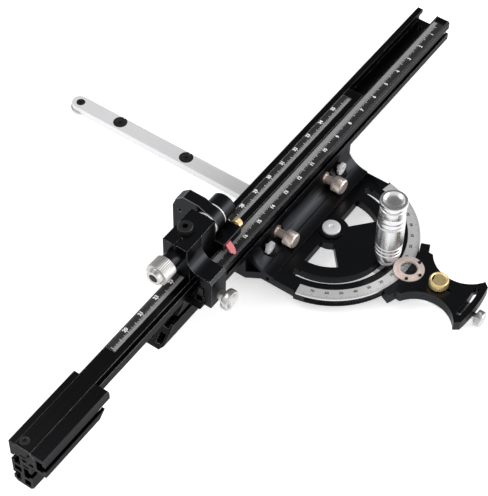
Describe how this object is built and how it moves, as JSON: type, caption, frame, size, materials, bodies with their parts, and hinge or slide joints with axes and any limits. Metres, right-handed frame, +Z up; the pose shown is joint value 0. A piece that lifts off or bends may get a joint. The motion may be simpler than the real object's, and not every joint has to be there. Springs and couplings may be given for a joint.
{
  "type": "miter gauge",
  "caption": "Miter gauge with a round indexed head, slotted bar, telescoping T-slot fence, flip stop with fine adjuster and a turned clamp handle",
  "frame": {"origin": "the head's pivot axis at the top face of the miter bar, which is the saw table's plane", "axes": "+X along the fence, +Y forward along the miter bar towards the fence, +Z up"},
  "size_m": [0.75, 0.5607, 0.135],
  "materials": {
    "bar_silver": "clear anodised",
    "black_screw": "black oxide",
    "zinc_steel": "zinc plated",
    "nickel_knob": "bright plated",
    "black_anodised": "black anodised aluminium",
    "rose_gold": "pink anodised, turned",
    "lens_glass": "clear polished",
    "brass_knob": "turned and knurled",
    "handle_aluminium": "turned and polished",
    "satin_scale": "satin",
    "black_extrusion": "black anodised aluminium",
    "ruler_tape": "printed tape",
    "white_washer": "smooth",
    "red_pointer": "moulded"
  },
  "bodies": {
    "bar": {"miter_bar": "bar_silver", "bar_expansion_discs": "black_screw", "bar_disc_screws": "black_screw", "bar_end_screw": "black_screw", "bar_end_washer": "zinc_steel", "pivot_screw": "nickel_knob", "index_housing": "black_anodised", "housing_screws": "zinc_steel", "lens_bezel": "rose_gold", "lens": "lens_glass", "bezel_screws": "black_screw", "clamp_stud": "zinc_steel"},
    "end_knob": {"bar_end_knob": "nickel_knob"},
    "latch": {"index_latch": "zinc_steel"},
    "latch_screw": {"latch_knob": "brass_knob"},
    "clamp_handle": {"handle": "handle_aluminium", "clamp_washer": "nickel_knob"},
    "head": {"head_plate": "black_anodised", "scale_ring": "satin_scale", "fence_flat_screws": "nickel_knob", "fence_nuts": "zinc_steel", "fence": "black_extrusion", "fence_ruler": "ruler_tape"},
    "thumb_screw_left": {"fence_thumb_screw_left": "rose_gold"},
    "thumb_screw_right": {"fence_thumb_screw_right": "rose_gold"},
    "telescoping_beam": {"beam": "black_extrusion", "beam_ruler": "ruler_tape", "beam_end_block": "black_extrusion", "block_screw": "nickel_knob", "block_set_screws": "black_screw"},
    "carriage": {"stop_carriage": "black_anodised", "stop_clamp_screw": "black_screw", "stop_slot_nut": "zinc_steel", "micro_sleeve": "black_anodised", "pointer_bracket": "black_anodised", "ruler_pointer": "red_pointer"},
    "carriage_knob": {"stop_thumb_knob": "nickel_knob"},
    "pointer_screw": {"pointer_knob": "brass_knob"},
    "adjuster": {"micro_knob": "nickel_knob"},
    "hinge": {"hinge_shaft": "zinc_steel", "hinge_washers": "white_washer", "hinge_cap": "black_anodised"},
    "arm": {"stop_arm": "black_anodised"}
  },
  "joints": [
    {"name": "head_swing", "type": "hinge", "parent": "bar", "child": "head", "pos_m": [0, 0, 0.006], "axis": [0, 0, 1], "range_deg": [-70, 70]},
    {"name": "handle_turn", "type": "hinge", "parent": "bar", "child": "clamp_handle", "pos_m": [0, -0.072, 0.06], "axis": [0, 0, 1], "range_deg": [-180, 180]},
    {"name": "latch_push", "type": "slide", "parent": "bar", "child": "latch", "axis": [0, 1, 0], "range_m": [0, 0.002]},
    {"name": "latch_knob_turn", "type": "hinge", "parent": "latch", "child": "latch_screw", "pos_m": [0, -0.137, 0.02], "axis": [0, 0, 1], "range_deg": [-180, 180]},
    {"name": "end_knob_turn", "type": "hinge", "parent": "bar", "child": "end_knob", "pos_m": [0, -0.184, -0.00475], "axis": [0, 1, 0], "range_deg": [-180, 180]},
    {"name": "left_thumb_screw_turn", "type": "hinge", "parent": "head", "child": "thumb_screw_left", "pos_m": [-0.048, 0.03, 0.0265], "axis": [0, 1, 0], "range_deg": [-180, 180]},
    {"name": "right_thumb_screw_turn", "type": "hinge", "parent": "head", "child": "thumb_screw_right", "pos_m": [0.048, 0.03, 0.0265], "axis": [0, 1, 0], "range_deg": [-180, 180]},
    {"name": "beam_extend", "type": "slide", "parent": "head", "child": "telescoping_beam", "axis": [1, 0, 0], "range_m": [-0.2, 0.166]},
    {"name": "stop_travel", "type": "slide", "parent": "head", "child": "carriage", "axis": [1, 0, 0], "range_m": [-0.004, 0.38]},
    {"name": "carriage_knob_turn", "type": "hinge", "parent": "carriage", "child": "carriage_knob", "pos_m": [-0.174, 0.02, 0.0565], "axis": [0, 1, 0], "range_deg": [-180, 180]},
    {"name": "pointer_screw_turn", "type": "hinge", "parent": "carriage", "child": "pointer_screw", "pos_m": [-0.106, 0.057, 0.079], "axis": [1, 0, 0], "range_deg": [-180, 180]},
    {"name": "adjuster_turn", "type": "hinge", "parent": "carriage", "child": "adjuster", "pos_m": [-0.21, 0.0735, 0.099], "axis": [1, 0, 0], "range_deg": [-720, 720]},
    {"name": "arm_shift", "type": "slide", "parent": "carriage", "child": "hinge", "axis": [1, 0, 0], "range_m": [-0.002, 0.002]},
    {"name": "arm_flip", "type": "hinge", "parent": "hinge", "child": "arm", "pos_m": [-0.126, 0.0735, 0.099], "axis": [1, 0, 0], "range_deg": [0, 100]}
  ],
  "couplings": [
    {"joint": "adjuster_turn", "follows": "arm_shift", "rad_per_m": 6283.2}
  ]
}
